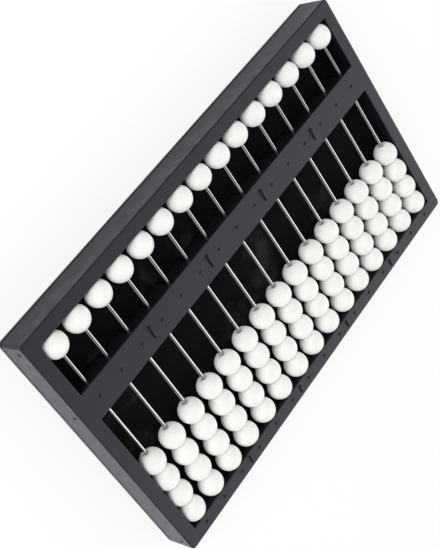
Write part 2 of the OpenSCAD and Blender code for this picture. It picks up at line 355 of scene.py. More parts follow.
def white_plastic():
    """Moulded white bead plastic: satin, faintly mottled, polished by fingers."""
    material, tree, shader, place = new_material("moulded_white_plastic")
    mottle = add(tree, "ShaderNodeTexNoise", {"Vector": place, "Scale": 1 / (7 * MM), "Detail": 3})
    links = {0: mottle.outputs[0], 6: linear("#f5f4f2"), 7: linear("#edece9")}
    colour = add(tree, "ShaderNodeMix", links, data_type="RGBA")
    tree.links.new(colour.outputs[2], shader.inputs["Base Color"])
    touch = add(tree, "ShaderNodeTexNoise", {"Vector": place, "Scale": 1 / (2.5 * MM), "Detail": 4})
    links = {"Value": touch.outputs[0], "To Min": 0.3, "To Max": 0.46}
    dullness = add(tree, "ShaderNodeMapRange", links)
    tree.links.new(dullness.outputs[0], shader.inputs["Roughness"])
    # Tumbling leaves marks near 0.1 mm; they are drawn at 0.5 mm so that they show
    tumble = add(tree, "ShaderNodeTexNoise", {"Vector": place, "Scale": 1 / (0.5 * MM), "Detail": 2})
    links = {"Height": tumble.outputs[0], "Strength": 0.12, "Distance": 0.02 * MM}
    bump = add(tree, "ShaderNodeBump", links)
    tree.links.new(bump.outputs[0], shader.inputs["Normal"])
    shader.inputs["IOR"].default_value = 1.5
    shader.inputs["Subsurface Weight"].default_value = 1
    shader.inputs["Subsurface Radius"].default_value = (1, 1, 1)
    shader.inputs["Subsurface Scale"].default_value = 2 * MM
    return material


def drawn_steel(name, hex_colour, dull_low, dull_high, along):
    """Drawn steel wire, bare or plated: metal with fine lines along its length; along is the wire's axis."""
    material, tree, shader, place = new_material(name)
    # Drawing lines are near 0.02 mm wide; they are drawn at 0.15 mm so that they show
    spread = [1 / (25 * MM) if axis == along else 1 / (0.15 * MM) for axis in range(3)]
    stretched = add(tree, "ShaderNodeMapping", {"Vector": place, "Scale": spread})
    lines = add(tree, "ShaderNodeTexNoise", {"Vector": stretched.outputs[0], "Scale": 1, "Detail": 3})
    links = {"Value": lines.outputs[0], "To Min": dull_low, "To Max": dull_high}
    dullness = add(tree, "ShaderNodeMapRange", links)
    tree.links.new(dullness.outputs[0], shader.inputs["Roughness"])
    links = {"Height": lines.outputs[0], "Strength": 0.2, "Distance": 0.01 * MM}
    bump = add(tree, "ShaderNodeBump", links)
    tree.links.new(bump.outputs[0], shader.inputs["Normal"])
    tarnish = add(tree, "ShaderNodeTexNoise", {"Vector": place, "Scale": 1 / (9 * MM), "Detail": 3})
    darker = [channel * 0.8 for channel in linear(hex_colour)[:3]] + [1]
    links = {0: tarnish.outputs[0], 6: linear(hex_colour), 7: darker}
    colour = add(tree, "ShaderNodeMix", links, data_type="RGBA")
    tree.links.new(colour.outputs[2], shader.inputs["Base Color"])
    shader.inputs["Metallic"].default_value = 1
    return material


def black_felt():
    """Pressed black felt: matted fibres with no shine, a haze of dust in places and pale specks of lint."""
    material, tree, shader, place = new_material("pressed_black_felt")
    # Fibres are near 0.02 mm thick; the matting is drawn at 0.35 mm so that it shows
    spread = (1 / (0.9 * MM), 1 / (0.35 * MM), 1 / (0.35 * MM))
    combed = add(tree, "ShaderNodeMapping", {"Vector": place, "Scale": spread})
    links = {"Vector": combed.outputs[0], "Scale": 1, "Detail": 5, "Distortion": 1.5}
    fibres = add(tree, "ShaderNodeTexNoise", links)
    links = {0: fibres.outputs[0], 6: linear("#08080a"), 7: linear("#161618")}
    matting = add(tree, "ShaderNodeMix", links, data_type="RGBA")
    shifted = add(tree, "ShaderNodeMapping", {"Vector": place, "Location": (30 * MM, 0, 0)})
    links = {"Vector": shifted.outputs[0], "Scale": 1 / (24 * MM), "Detail": 6, "Roughness": 0.65}
    drift = add(tree, "ShaderNodeTexNoise", links)
    links = {"Value": drift.outputs[0], "From Min": 0.56, "From Max": 0.76, "To Max": 0.7}
    haze = add(tree, "ShaderNodeMapRange", links)
    links = {0: haze.outputs[0], 6: matting.outputs[2], 7: linear("#3c3b3d")}
    dusty = add(tree, "ShaderNodeMix", links, data_type="RGBA")
    lint = add(tree, "ShaderNodeTexVoronoi", {"Vector": place, "Scale": 1 / (5 * MM)})
    links = {"Value": lint.outputs["Distance"], "From Min": 0.06, "From Max": 0.03}
    specks = add(tree, "ShaderNodeMapRange", links)
    links = {0: specks.outputs[0], 6: dusty.outputs[2], 7: linear("#4a4a4d")}
    colour = add(tree, "ShaderNodeMix", links, data_type="RGBA")
    tree.links.new(colour.outputs[2], shader.inputs["Base Color"])
    links = {"Height": fibres.outputs[0], "Strength": 0.8, "Distance": 0.15 * MM}
    bump = add(tree, "ShaderNodeBump", links)
    tree.links.new(bump.outputs[0], shader.inputs["Normal"])
    shader.inputs["Roughness"].default_value = 0.95
    shader.inputs["Specular IOR Level"].default_value = 0.1
    return material


def foot_rubber():
    """Moulded rubber: near black, matt, with a dusty bloom."""
    material, tree, shader, place = new_material("moulded_foot_rubber")
    bloom = add(tree, "ShaderNodeTexNoise", {"Vector": place, "Scale": 1 / (1.5 * MM), "Detail": 4})
    links = {0: bloom.outputs[0], 6: linear("#141415"), 7: linear("#242426")}
    colour = add(tree, "ShaderNodeMix", links, data_type="RGBA")
    tree.links.new(colour.outputs[2], shader.inputs["Base Color"])
    links = {"Value": bloom.outputs[0], "To Min": 0.7, "To Max": 0.9}
    dullness = add(tree, "ShaderNodeMapRange", links)
    tree.links.new(dullness.outputs[0], shader.inputs["Roughness"])
    links = {"Height": bloom.outputs[0], "Strength": 0.3, "Distance": 0.03 * MM}
    bump = add(tree, "ShaderNodeBump", links)
    tree.links.new(bump.outputs[0], shader.inputs["Normal"])
    return material


# Geometry Nodes trees

def new_tree(name, inputs):
    """An empty tree with a geometry output and named inputs, each with its kind of socket."""
    tree = bpy.data.node_groups.new(name, "GeometryNodeTree")
    tree.interface.new_socket("Geometry", in_out="OUTPUT", socket_type="NodeSocketGeometry")
    for label, kind in inputs.items():
        tree.interface.new_socket(label, in_out="INPUT", socket_type="NodeSocket" + kind)
    entry = add(tree, "NodeGroupInput")
    return tree, entry.outputs


def finish_tree(tree, shape, material):
    """Ends a tree in Realize Instances and Set Material."""
    whole = add(tree, "GeometryNodeRealizeInstances", {"Geometry": shape})
    painted = add(tree, "GeometryNodeSetMaterial", {"Geometry": whole.outputs[0], "Material": material})
    add(tree, "NodeGroupOutput", {0: painted.outputs[0]})
    return tree


def turned_rows_tree():
    """Turns the piece's own profile, a chain of points with X as its radius, about Z and repeats it in
    rows."""
    tree, entry = new_tree("turned_rows", {
        "Profile": "Geometry", "Steps around": "Int", "Axis": "Rotation", "Start": "Vector",
        "Count": "Int", "Pitch": "Vector", "Rows": "Int", "Row pitch": "Vector", "Material": "Material"})
    size = add(tree, "GeometryNodeAttributeDomainSize", {0: entry["Profile"]}, component="MESH")
    points = size.outputs["Point Count"]
    rings = add(tree, "ShaderNodeMath", {0: entry["Steps around"], 1: 1}, operation="ADD")
    links = {"Size X": 1, "Size Y": 1, "Vertices X": points, "Vertices Y": rings.outputs[0]}
    sheet = add(tree, "GeometryNodeMeshGrid", links)
    position = add(tree, "GeometryNodeInputPosition").outputs[0]
    across = add(tree, "ShaderNodeSeparateXYZ", {0: position})
    # Along X the sheet counts the profile's points, along Y it goes once round
    last = add(tree, "ShaderNodeMath", {0: points, 1: 1}, operation="SUBTRACT")
    share = add(tree, "ShaderNodeMath", {0: across.outputs["X"], 1: 0.5}, operation="ADD")
    exact = add(tree, "ShaderNodeMath", {0: share.outputs[0], 1: last.outputs[0]}, operation="MULTIPLY")
    index = add(tree, "ShaderNodeMath", {0: exact.outputs[0]}, operation="ROUND")
    links = {"Geometry": entry["Profile"], "Value": position, "Index": index.outputs[0]}
    corner = add(tree, "GeometryNodeSampleIndex", links, data_type="FLOAT_VECTOR")
    profile = add(tree, "ShaderNodeSeparateXYZ", {0: corner.outputs[0]})
    turn = add(tree, "ShaderNodeMath", {0: across.outputs["Y"], 1: math.tau}, operation="MULTIPLY")
    cosine = add(tree, "ShaderNodeMath", {0: turn.outputs[0]}, operation="COSINE")
    sine = add(tree, "ShaderNodeMath", {0: turn.outputs[0]}, operation="SINE")
    links = {0: profile.outputs["X"], 1: cosine.outputs[0]}
    turned_x = add(tree, "ShaderNodeMath", links, operation="MULTIPLY")
    links = {0: profile.outputs["X"], 1: sine.outputs[0]}
    turned_y = add(tree, "ShaderNodeMath", links, operation="MULTIPLY")
    links = {"X": turned_x.outputs[0], "Y": turned_y.outputs[0], "Z": profile.outputs["Z"]}
    place = add(tree, "ShaderNodeCombineXYZ", links)
    links = {"Geometry": sheet.outputs[0], "Position": place.outputs[0]}
    turned = add(tree, "GeometryNodeSetPosition", links)
    links = {"Geometry": turned.outputs[0], "Distance": SAME_POINT}
    closed = add(tree, "GeometryNodeMergeByDistance", links)
    links = {"Count": entry["Count"], "Offset": entry["Pitch"]}
    row = add(tree, "GeometryNodeMeshLine", links)
    links = {"Count": entry["Rows"], "Start Location": entry["Start"], "Offset": entry["Row pitch"]}
    rows = add(tree, "GeometryNodeMeshLine", links)
    links = {"Points": rows.outputs[0], "Instance": row.outputs[0]}
    places = add(tree, "GeometryNodeInstanceOnPoints", links)
    seats = add(tree, "GeometryNodeRealizeInstances", {"Geometry": places.outputs[0]})
    links = {"Points": seats.outputs[0], "Instance": closed.outputs[0], "Rotation": entry["Axis"]}
    copies = add(tree, "GeometryNodeInstanceOnPoints", links)
    return finish_tree(tree, copies.outputs[0], entry["Material"])


def raised_lines_tree():
    """A row of raised lines: balls drawn out along Y to a length, flattened to a height and repeated."""
    tree, entry = new_tree("raised_lines", {
        "Length": "Float", "Width": "Float", "Height": "Float", "Start": "Vector", "Count": "Int",
        "Pitch": "Vector", "Material": "Material"})
    radius = add(tree, "ShaderNodeMath", {0: entry["Width"], 1: 2}, operation="DIVIDE")
    links = {"Segments": 24, "Rings": 12, "Radius": radius.outputs[0]}
    ball = add(tree, "GeometryNodeMeshUVSphere", links)
    position = add(tree, "GeometryNodeInputPosition").outputs[0]
    axes = add(tree, "ShaderNodeSeparateXYZ", {0: position})
    spare = add(tree, "ShaderNodeMath", {0: entry["Length"], 1: entry["Width"]}, operation="SUBTRACT")
    reach = add(tree, "ShaderNodeMath", {0: spare.outputs[0], 1: 2}, operation="DIVIDE")
    # The ring round a ball's own middle stays put
    side = add(tree, "ShaderNodeMath", {0: axes.outputs["Y"]}, operation="SIGN")
    size = add(tree, "ShaderNodeMath", {0: axes.outputs["Y"]}, operation="ABSOLUTE")
    apart = add(tree, "ShaderNodeMath", {0: size.outputs[0], 1: SAME_POINT}, operation="GREATER_THAN")
    pull = add(tree, "ShaderNodeMath", {0: side.outputs[0], 1: reach.outputs[0]}, operation="MULTIPLY")
    drawn = add(tree, "ShaderNodeMath", {0: pull.outputs[0], 1: apart.outputs[0]}, operation="MULTIPLY")
    offset = add(tree, "ShaderNodeCombineXYZ", {"Y": drawn.outputs[0]})
    links = {"Geometry": ball.outputs[0], "Offset": offset.outputs[0]}
    capsule = add(tree, "GeometryNodeSetPosition", links)
    flat = add(tree, "ShaderNodeMath", {0: entry["Height"], 1: radius.outputs[0]}, operation="DIVIDE")
    scale = add(tree, "ShaderNodeCombineXYZ", {"X": 1, "Y": 1, "Z": flat.outputs[0]})
    links = {"Count": entry["Count"], "Start Location": entry["Start"], "Offset": entry["Pitch"]}
    row = add(tree, "GeometryNodeMeshLine", links)
    links = {"Points": row.outputs[0], "Instance": capsule.outputs[0], "Scale": scale.outputs[0]}
    copies = add(tree, "GeometryNodeInstanceOnPoints", links)
    return finish_tree(tree, copies.outputs[0], entry["Material"])


def felt_slab_tree():
    """A felt pad: a finely divided slab with rounded edges, its top raised and sunk a little by matting."""
    tree, entry = new_tree("felt_slab", {
        "Size": "Vector", "Centre": "Vector", "Edge": "Float", "Matting": "Float", "Matting size": "Float",
        "Spacing": "Float", "Material": "Material"})
    size = add(tree, "ShaderNodeSeparateXYZ", {0: entry["Size"]})
    counts = {}
    for axis in "XYZ":
        links = {0: size.outputs[axis], 1: entry["Spacing"]}
        steps = add(tree, "ShaderNodeMath", links, operation="DIVIDE")
        enough = add(tree, "ShaderNodeMath", {0: steps.outputs[0], 1: 3}, operation="MAXIMUM")
        counts[axis] = enough.outputs[0]
    links = {"Size": entry["Size"], "Vertices X": counts["X"], "Vertices Y": counts["Y"],
             "Vertices Z": counts["Z"]}
    block = add(tree, "GeometryNodeMeshCube", links)
    position = add(tree, "GeometryNodeInputPosition").outputs[0]
    # A point within the edge radius of the surface is put on a ball round the nearest inner point
    half = add(tree, "ShaderNodeVectorMath", {0: entry["Size"], 1: (0.5, 0.5, 0.5)}, operation="MULTIPLY")
    links = {0: half.outputs[0], 1: entry["Edge"]}
    inner = add(tree, "ShaderNodeVectorMath", links, operation="SUBTRACT")
    outer = add(tree, "ShaderNodeVectorMath", {0: inner.outputs[0], "Scale": -1}, operation="SCALE")
    lowest = add(tree, "ShaderNodeVectorMath", {0: position, 1: outer.outputs[0]}, operation="MAXIMUM")
    links = {0: lowest.outputs[0], 1: inner.outputs[0]}
    nearest = add(tree, "ShaderNodeVectorMath", links, operation="MINIMUM")
    out = add(tree, "ShaderNodeVectorMath", {0: position, 1: nearest.outputs[0]}, operation="SUBTRACT")
    ray = add(tree, "ShaderNodeVectorMath", {0: out.outputs[0]}, operation="NORMALIZE")
    links = {0: ray.outputs[0], "Scale": entry["Edge"]}
    reach = add(tree, "ShaderNodeVectorMath", links, operation="SCALE")
    links = {0: nearest.outputs[0], 1: reach.outputs[0]}
    round_place = add(tree, "ShaderNodeVectorMath", links, operation="ADD")
    links = {"Geometry": block.outputs[0], "Position": round_place.outputs[0]}
    rounded = add(tree, "GeometryNodeSetPosition", links)
    frequency = add(tree, "ShaderNodeMath", {0: 1, 1: entry["Matting size"]}, operation="DIVIDE")
    links = {"Vector": position, "Scale": frequency.outputs[0], "Detail": 3}
    matting = add(tree, "ShaderNodeTexNoise", links)
    # Matting only sinks the felt, so that it stays clear of the beads
    links = {0: matting.outputs[0], 1: entry["Matting"]}
    depth = add(tree, "ShaderNodeMath", links, operation="MULTIPLY")
    upward = add(tree, "ShaderNodeSeparateXYZ", {0: position})
    top = add(tree, "ShaderNodeMath", {0: upward.outputs["Z"], 1: 0}, operation="GREATER_THAN")
    sink = add(tree, "ShaderNodeMath", {0: depth.outputs[0], 1: top.outputs[0]}, operation="MULTIPLY")
    down = add(tree, "ShaderNodeMath", {0: sink.outputs[0], 1: -1}, operation="MULTIPLY")
    offset = add(tree, "ShaderNodeCombineXYZ", {"Z": down.outputs[0]})
    links = {"Geometry": rounded.outputs[0], "Offset": offset.outputs[0]}
    matted = add(tree, "GeometryNodeSetPosition", links)
    links = {"Geometry": matted.outputs[0], "Offset": entry["Centre"]}
    placed = add(tree, "GeometryNodeSetPosition", links)
    return finish_tree(tree, placed.outputs[0], entry["Material"])


def grow(name, tree, values, profile=()):
    """A plain mesh piece made by a tree from its named inputs, and from a profile where the tree turns
    one."""
    mesh = bpy.data.meshes.new(name)
    points = [(radius, 0, height) for radius, height in profile]
    mesh.from_pydata(points, [(i, i + 1) for i in range(len(points) - 1)], [])
    piece = new_piece(name, mesh)
    modifier = piece.modifiers.new(tree.name, "NODES")
    modifier.node_group = tree
    sockets = {item.name: item.identifier for item in tree.interface.items_tree if item.in_out == "INPUT"}
    for label, value in values.items():
        modifier[sockets[label]] = value
    piece.data = evaluated_mesh(piece)
    paint(piece, values["Material"])
    shape = bmesh.new()
    shape.from_mesh(piece.data)
    bmesh.ops.recalc_face_normals(shape, faces=shape.faces)
    shape.to_mesh(piece.data)
    shape.free()
    smooth(piece)
    return piece


# Shapes shared by the moulded pieces

def add_wall(shape, outline, profile):
    """Rings of an outline joined by faces, one for each (inset, z) of the profile. Gives the end rings."""
    rings = []
    for inset, z in profile:
        rings.append([shape.verts.new((x, y, z)) for x, y in outline(inset)])
    for lower, upper in zip(rings, rings[1:]):
        for here in range(len(lower)):
            before = here - 1
            shape.faces.new((lower[before], lower[here], upper[here], upper[before]))
    return rings[0], rings[-1]


def fill(shape, *rings):
    """A flat face between closed rings at one level."""
    edges = []
    for ring in rings:
        edges += [shape.edges.get((ring[here - 1], ring[here])) for here in range(len(ring))]
    bmesh.ops.triangle_fill(shape, edges=edges, use_beauty=True)


def quarter(radius, steps=4):
    """Insets and heights of a quarter round, from its upright side to its level side."""
    angles = [math.pi / 2 * step / steps for step in range(steps + 1)]
    return [(radius * (1 - math.cos(angle)), radius * math.sin(angle)) for angle in angles]


def outer_outline(inset):
    corners = rectangle(frame_low.x + inset, frame_low.y + inset,
                        frame_high.x - inset, frame_high.y - inset, CORNER_RADIUS - inset)
    return rounded_chain(corners, steps=10)


def window_outline(low_y, high_y):
    def outline(inset):
        corners = rectangle(-window_end + inset, low_y + inset, window_end - inset, high_y - inset,
                            WINDOW_CORNER - inset)
        return rounded_chain(corners)
    return outline


def add_box(shape, low, high):
    """A closed box between two corners."""
    size = [high[axis] - low[axis] for axis in range(3)]
    made = bmesh.ops.create_cube(shape, size=1)["verts"]
    for vertex in made:
        vertex.co = [low[axis] + (vertex.co[axis] + 0.5) * size[axis] for axis in range(3)]


def add_prism(shape, section, place):
    """A closed prism: place(x, y, end) puts a section's point at the near or the far end."""
    rings = [[shape.verts.new(place(x, y, end)) for x, y in section] for end in (0, 1)]
    for here in range(len(section)):
        shape.faces.new((rings[0][here - 1], rings[0][here], rings[1][here], rings[1][here - 1]))
    for ring in rings:
        shape.faces.new(ring)


def circle(radius, steps=24):
    angles = [math.tau * step / steps for step in range(steps)]
    return [(radius * math.cos(angle), radius * math.sin(angle)) for angle in angles]


def add_turned(shape, profile, place):
    """A closed turned shape, one ring for each (radius, height) of the profile, put in its place point by
    point."""
    rings = []
    for radius, height in profile:
        rings.append([shape.verts.new(place(x, y, height)) for x, y in circle(radius)])
    for lower, upper in zip(rings, rings[1:]):
        for here in range(len(lower)):
            shape.faces.new((lower[here - 1], lower[here], upper[here], upper[here - 1]))
    shape.faces.new(rings[0])
    shape.faces.new(rings[-1])


def cut(piece, cutters):
    """Takes closed shapes that do not meet each other out of a piece."""
    tool = from_bmesh("cutters", cutters)
    modifier = piece.modifiers.new("cut", "BOOLEAN")
    modifier.operation = "DIFFERENCE"
    modifier.solver = "EXACT"
    modifier.object = tool
    piece.data = evaluated_mesh(piece)
    bpy.data.objects.remove(tool)


def finish_moulding(piece, material):
    """Smooth rounded edges between flat faces that stay flat."""
    paint(piece, material)
    smooth(piece)
    weighted = piece.modifiers.new("flat_faces", "WEIGHTED_NORMAL")
    weighted.keep_sharp = True


# Moulded pieces

def rod_slots():
    """Slots that the rods are laid into from behind, one a column, through the walls beside the windows."""
    shape = bmesh.new()
    reach = ROD_DIAMETER / 2 + ROD_FIT
    steps = 12
    angles = [math.pi * step / steps for step in range(steps + 1)]
    seat = [(reach * math.cos(angle), reach * math.sin(angle)) for angle in angles]
    mouth = frame_low.z - rod_level - CUT_PAST
    section = seat + [(-reach, mouth), (reach, mouth)]
    ends = (rail_edge - ROD_SLOT, top_edge + ROD_SLOT)
    for column in range(columns):
        centre = first_column + column * pitch
        add_prism(shape, section, lambda x, z, end: (centre + x, ends[end], rod_level + z))
    return shape


def rail_hollows():
    """Hollows behind the rails and the bar, open to the back and divided by cross ribs."""
    shape = bmesh.new()
    ribs = [-window_end - RIB / 2, *mark_x, window_end + RIB / 2]
    ceiling = rod_level + ROD_DIAMETER / 2 + ROD_FIT
    spans = [(frame_low.y + OUTER_WALL, rail_edge - INNER_WALL),
             (bar_low + INNER_WALL, bar_high - INNER_WALL),
             (top_edge + INNER_WALL, frame_high.y - OUTER_WALL)]
    for left, right in zip(ribs, ribs[1:]):
        for low_y, high_y in spans:
            low = (left + RIB / 2, low_y, frame_low.z - CUT_PAST)
            add_box(shape, low, (right - RIB / 2, high_y, ceiling))
    return shape


def wire_holes():
    """Holes for the three retaining wires, open at the left end in wider mouths."""
    shape = bmesh.new()
    for node in ("top_wire", "bar_wire", "bottom_wire"):
        low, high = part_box(node)
        bore = (high.z - low.z) / 2 + WIRE_FIT
        shoulder = frame_low.x + WIRE_MOUTH_DEPTH
        profile = [(WIRE_MOUTH / 2, frame_low.x - CUT_PAST), (WIRE_MOUTH / 2, shoulder),
                   (bore, shoulder), (bore, high.x)]
        centre = middle(node)
        add_turned(shape, profile, lambda y, z, x: (x, centre.y + y, centre.z + z))
    return shape


def frame_moulding(material):
    """The frame: four rails and the dividing bar in one moulding, with soft edges and open windows."""
    shape = bmesh.new()
    foot = [(inset, frame_low.z + SEAM_EDGE - rise) for inset, rise in reversed(quarter(SEAM_EDGE))]
    brow = [(inset, frame_top - TOP_EDGE + rise) for inset, rise in quarter(TOP_EDGE)]
    bottom, top = add_wall(shape, outer_outline, foot + brow)
    bottoms, tops = [bottom], [top]
    for low_y, high_y in ((rail_edge, bar_low), (bar_high, top_edge)):
        lip = [(-inset, frame_top - WINDOW_EDGE + rise) for inset, rise in quarter(WINDOW_EDGE)]
        bottom, top = add_wall(shape, window_outline(low_y, high_y), [(0, frame_low.z)] + lip)
        bottoms.append(bottom)
        tops.append(top)
    fill(shape, *bottoms)
    fill(shape, *tops)
    piece = from_bmesh("frame_moulding", shape)
    for cutters in (rod_slots(), rail_hollows(), wire_holes()):
        cut(piece, cutters)
    finish_moulding(piece, material)
    return piece


def screw_places():
    """Where the screws stand: the four corners, and the bar at its first and last marks."""
    reach = SCREW_HEAD / 2
    corners = [(x, y) for x in (screw_low.x + reach, screw_high.x - reach)
               for y in (screw_low.y + reach, screw_high.y - reach)]
    return corners + [(x, bar_middle) for x in (mark_x[0], mark_x[-1])]


def foot_places():
    reach = FOOT_DIAMETER / 2
    return [(x, y) for x in (foot_low.x + reach, foot_high.x - reach)
            for y in (foot_low.y + reach, foot_high.y - reach)]


def cover_recesses():
    """Seats for the feet and countersunk holes for the screws in the back cover."""
    shape = bmesh.new()
    below = cover_low.z - CUT_PAST
    for x, y in foot_places():
        levels = (below, cover_low.z + FOOT_SEAT)
        section = circle(FOOT_DIAMETER / 2 + FOOT_FIT, steps=48)
        add_prism(shape, section, lambda u, v, end: (x + u, y + v, levels[end]))
    shank = SCREW_SHANK / 2 + SCREW_FIT
    head = SCREW_HEAD / 2 + SCREW_FIT
    profile = [(head, below), (head, screw_low.z), (shank, screw_low.z + SCREW_CONE),
               (shank, cover_high.z + CUT_PAST)]
    for x, y in screw_places():
        add_turned(shape, profile, lambda u, v, z: (x + u, y + v, z))
    return shape


def cover_moulding(material):
    """The back cover: a plate with the frame's outline and soft edges, stepped to leave a shadow gap at the
    seam."""
    shape = bmesh.new()
    foot = [(inset, cover_low.z + COVER_EDGE - rise) for inset, rise in reversed(quarter(COVER_EDGE))]
    brow = [(inset, cover_high.z - SEAM_GAP - SEAM_EDGE + rise) for inset, rise in quarter(SEAM_EDGE)]
    step = [(SEAM_DEPTH, cover_high.z - SEAM_GAP), (SEAM_DEPTH, cover_high.z)]
    bottom, top = add_wall(shape, outer_outline, foot + brow + step)
    fill(shape, bottom)
    fill(shape, top)
    piece = from_bmesh("cover_moulding", shape)
    cut(piece, cover_recesses())
    finish_moulding(piece, material)
    return piece


# Turned and repeated pieces

def bead_profile():
    """Half section of a bead, closed: a ball cut flat at both ends and bored, with rounded mouths."""
    ball = bead_diameter / 2
    half = BEAD_LENGTH / 2
    lean = math.asin(half / ball)
    bore = BEAD_HOLE / 2
    steps = 22
    arc = [lean - 2 * lean * step / steps for step in range(1, steps)]
    flat = ball * math.cos(lean)
    corners = [(bore, 0, 0), (bore, half, BEAD_MOUTH), (flat, half, BEAD_BLEND)]
    corners += [(ball * math.cos(angle), ball * math.sin(angle), 0) for angle in arc]
    corners += [(flat, -half, BEAD_BLEND), (bore, -half, BEAD_MOUTH), (bore, 0, 0)]
    return rounded_chain(corners)


def cylinder_profile(diameter, low, high, edge):
    """Half section of a solid cylinder with rounded edges."""
    radius = diameter / 2
    return rounded_chain([(0, low, 0), (radius, low, edge), (radius, high, edge), (0, high, 0)])


def dot_profile():
    """Half section of a raised dot: a low dome that runs out into the frame's face."""
    radius = DOT_DIAMETER / 2
    steps = 6
    dome = [math.pi / 2 * step / steps for step in range(steps, 0, -1)]
    rise = [(radius * math.cos(angle), DOT_HEIGHT * math.sin(angle)) for angle in dome]
    rise[0] = (0, DOT_HEIGHT)
    foot = [(radius + DOT_FOOT / 3, DOT_FOOT / 3), (radius + DOT_FOOT, 0), (radius, -DOT_FOOT)]
    return rise + foot + [(0, -DOT_FOOT)]


def screw_profile():
    """Half section of a countersunk screw standing on its head."""
    shank = SCREW_SHANK / 2
    length = screw_high.z - screw_low.z
    return [(0, 0), (SCREW_HEAD / 2, 0), (shank, SCREW_CONE), (shank, length - SCREW_TIP),
            (shank / 4, length), (0, length)]


def crosses(places):
    """Cross recesses for the screw heads, each one closed shape."""
    shape = bmesh.new()
    arm = CROSS_LENGTH / 2
    side = CROSS_WIDTH / 2
    section = [(arm, -side), (arm, side), (side, side), (side, arm), (-side, arm), (-side, side),
               (-arm, side), (-arm, -side), (-side, -side), (-side, -arm), (side, -arm), (side, -side)]
    levels = (screw_low.z - CUT_PAST, screw_low.z + CROSS_DEPTH)
    for x, y in places:
        add_prism(shape, section, lambda u, v, end: (x + u, y + v, levels[end]))
    return shape


def bead_pieces(tree, material):
    """The beads: one piece for each body, with as many beads as its solid holds."""
    profile = bead_profile()
    step = BEAD_LENGTH + BEAD_GAP
    for node in upper_beads + named_nodes("lower_beads_"):
        low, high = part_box(node)
        count = round((high.y - low.y + BEAD_GAP) / step)
        start = (middle(node).x, low.y + BEAD_LENGTH / 2, rod_level)
        piece = grow("turned_" + node, tree, {
            "Steps around": 40, "Axis": ALONG_Y, "Start": start, "Count": count, "Pitch": (0, step, 0),
            "Rows": 1, "Row pitch": (0, 0, 0), "Material": material}, profile)
        dress(piece, node, "bead_plastic", node)


def rod_piece(tree, material):
    """The rods: straight wire with rounded ends, one a column."""
    profile = cylinder_profile(ROD_DIAMETER, rod_low.y, rod_high.y, ROD_EDGE)
    piece = grow("rod_set", tree, {
        "Steps around": 24, "Axis": ALONG_Y, "Start": (first_column, 0, rod_level), "Count": columns,
        "Pitch": (pitch, 0, 0), "Rows": 1, "Row pitch": (0, 0, 0), "Material": material}, profile)
    dress(piece, "frame", "rod_steel", "rods")


def dot_piece(tree, material):
    """The raised dots: a row on the bar and a row on the bottom rail."""
    start = (first_column, rail_middle, frame_top)
    piece = grow("tactile_dots", tree, {
        "Steps around": 20, "Axis": UPRIGHT, "Start": start, "Count": columns, "Pitch": (pitch, 0, 0),
        "Rows": 2, "Row pitch": (0, bar_middle - rail_middle, 0), "Material": material}, dot_profile())
    dress(piece, "frame", "frame_moulding", "frame")


def line_pieces(tree, material):
    """The raised lines after every third column, longer on the bar than on the rail."""
    for name, y, length in (("bar_lines", bar_middle, BAR_MARK), ("rail_lines", rail_middle, RAIL_MARK)):
        piece = grow(name, tree, {
            "Length": length, "Width": MARK_WIDTH, "Height": MARK_HEIGHT,
            "Start": (mark_x[0], y, frame_top), "Count": len(mark_x),
            "Pitch": (COLUMNS_PER_MARK * pitch, 0, 0), "Material": material})
        dress(piece, "frame", "frame_moulding", "frame")


def screw_pieces(tree, material):
    """The cover's screws: four in the corners and two in the bar."""
    places = screw_places()
    corners, bar = places[:4], places[4:]
    rows = {"corner_screws": (corners, 2), "bar_screws": (bar, 1)}
    for name, (stands, row_count) in rows.items():
        across = stands[-1][0] - stands[0][0]
        up = stands[row_count - 1][1] - stands[0][1]
        piece = grow(name, tree, {
            "Steps around": 32, "Axis": UPRIGHT, "Start": (*stands[0], screw_low.z), "Count": 2,
            "Pitch": (across, 0, 0), "Rows": row_count, "Row pitch": (0, up, 0), "Material": material},
            screw_profile())
        cut(piece, crosses(stands))
        paint(piece, material)
        smooth(piece)
        dress(piece, "frame", "screw_steel", "screws")


def foot_piece(tree, material):
    """The rubber feet: four low discs with rounded rims."""
    places = foot_places()
    piece = grow("foot_set", tree, {
        "Steps around": 48, "Axis": UPRIGHT, "Start": (*places[0], 0), "Count": 2,
        "Pitch": (places[-1][0] - places[0][0], 0, 0), "Rows": 2,
        "Row pitch": (0, places[1][1] - places[0][1], 0), "Material": material},
        cylinder_profile(FOOT_DIAMETER, foot_low.z, foot_high.z, FOOT_EDGE))
    dress(piece, "frame", "foot_rubber", "rubber_feet")


def pad_pieces(tree, material):
    """The felt pads under the beads, one in each window."""
    for node in ("upper_pad", "lower_pad"):
        low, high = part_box(node)
        piece = grow("felt_" + node, tree, {
            "Size": high - low, "Centre": middle(node), "Edge": PAD_EDGE, "Matting": MATTING_DEPTH,
            "Matting size": MATTING_SIZE, "Spacing": PAD_SPACING, "Material": material})
        dress(piece, "frame", "pad_felt", node)


# The studio

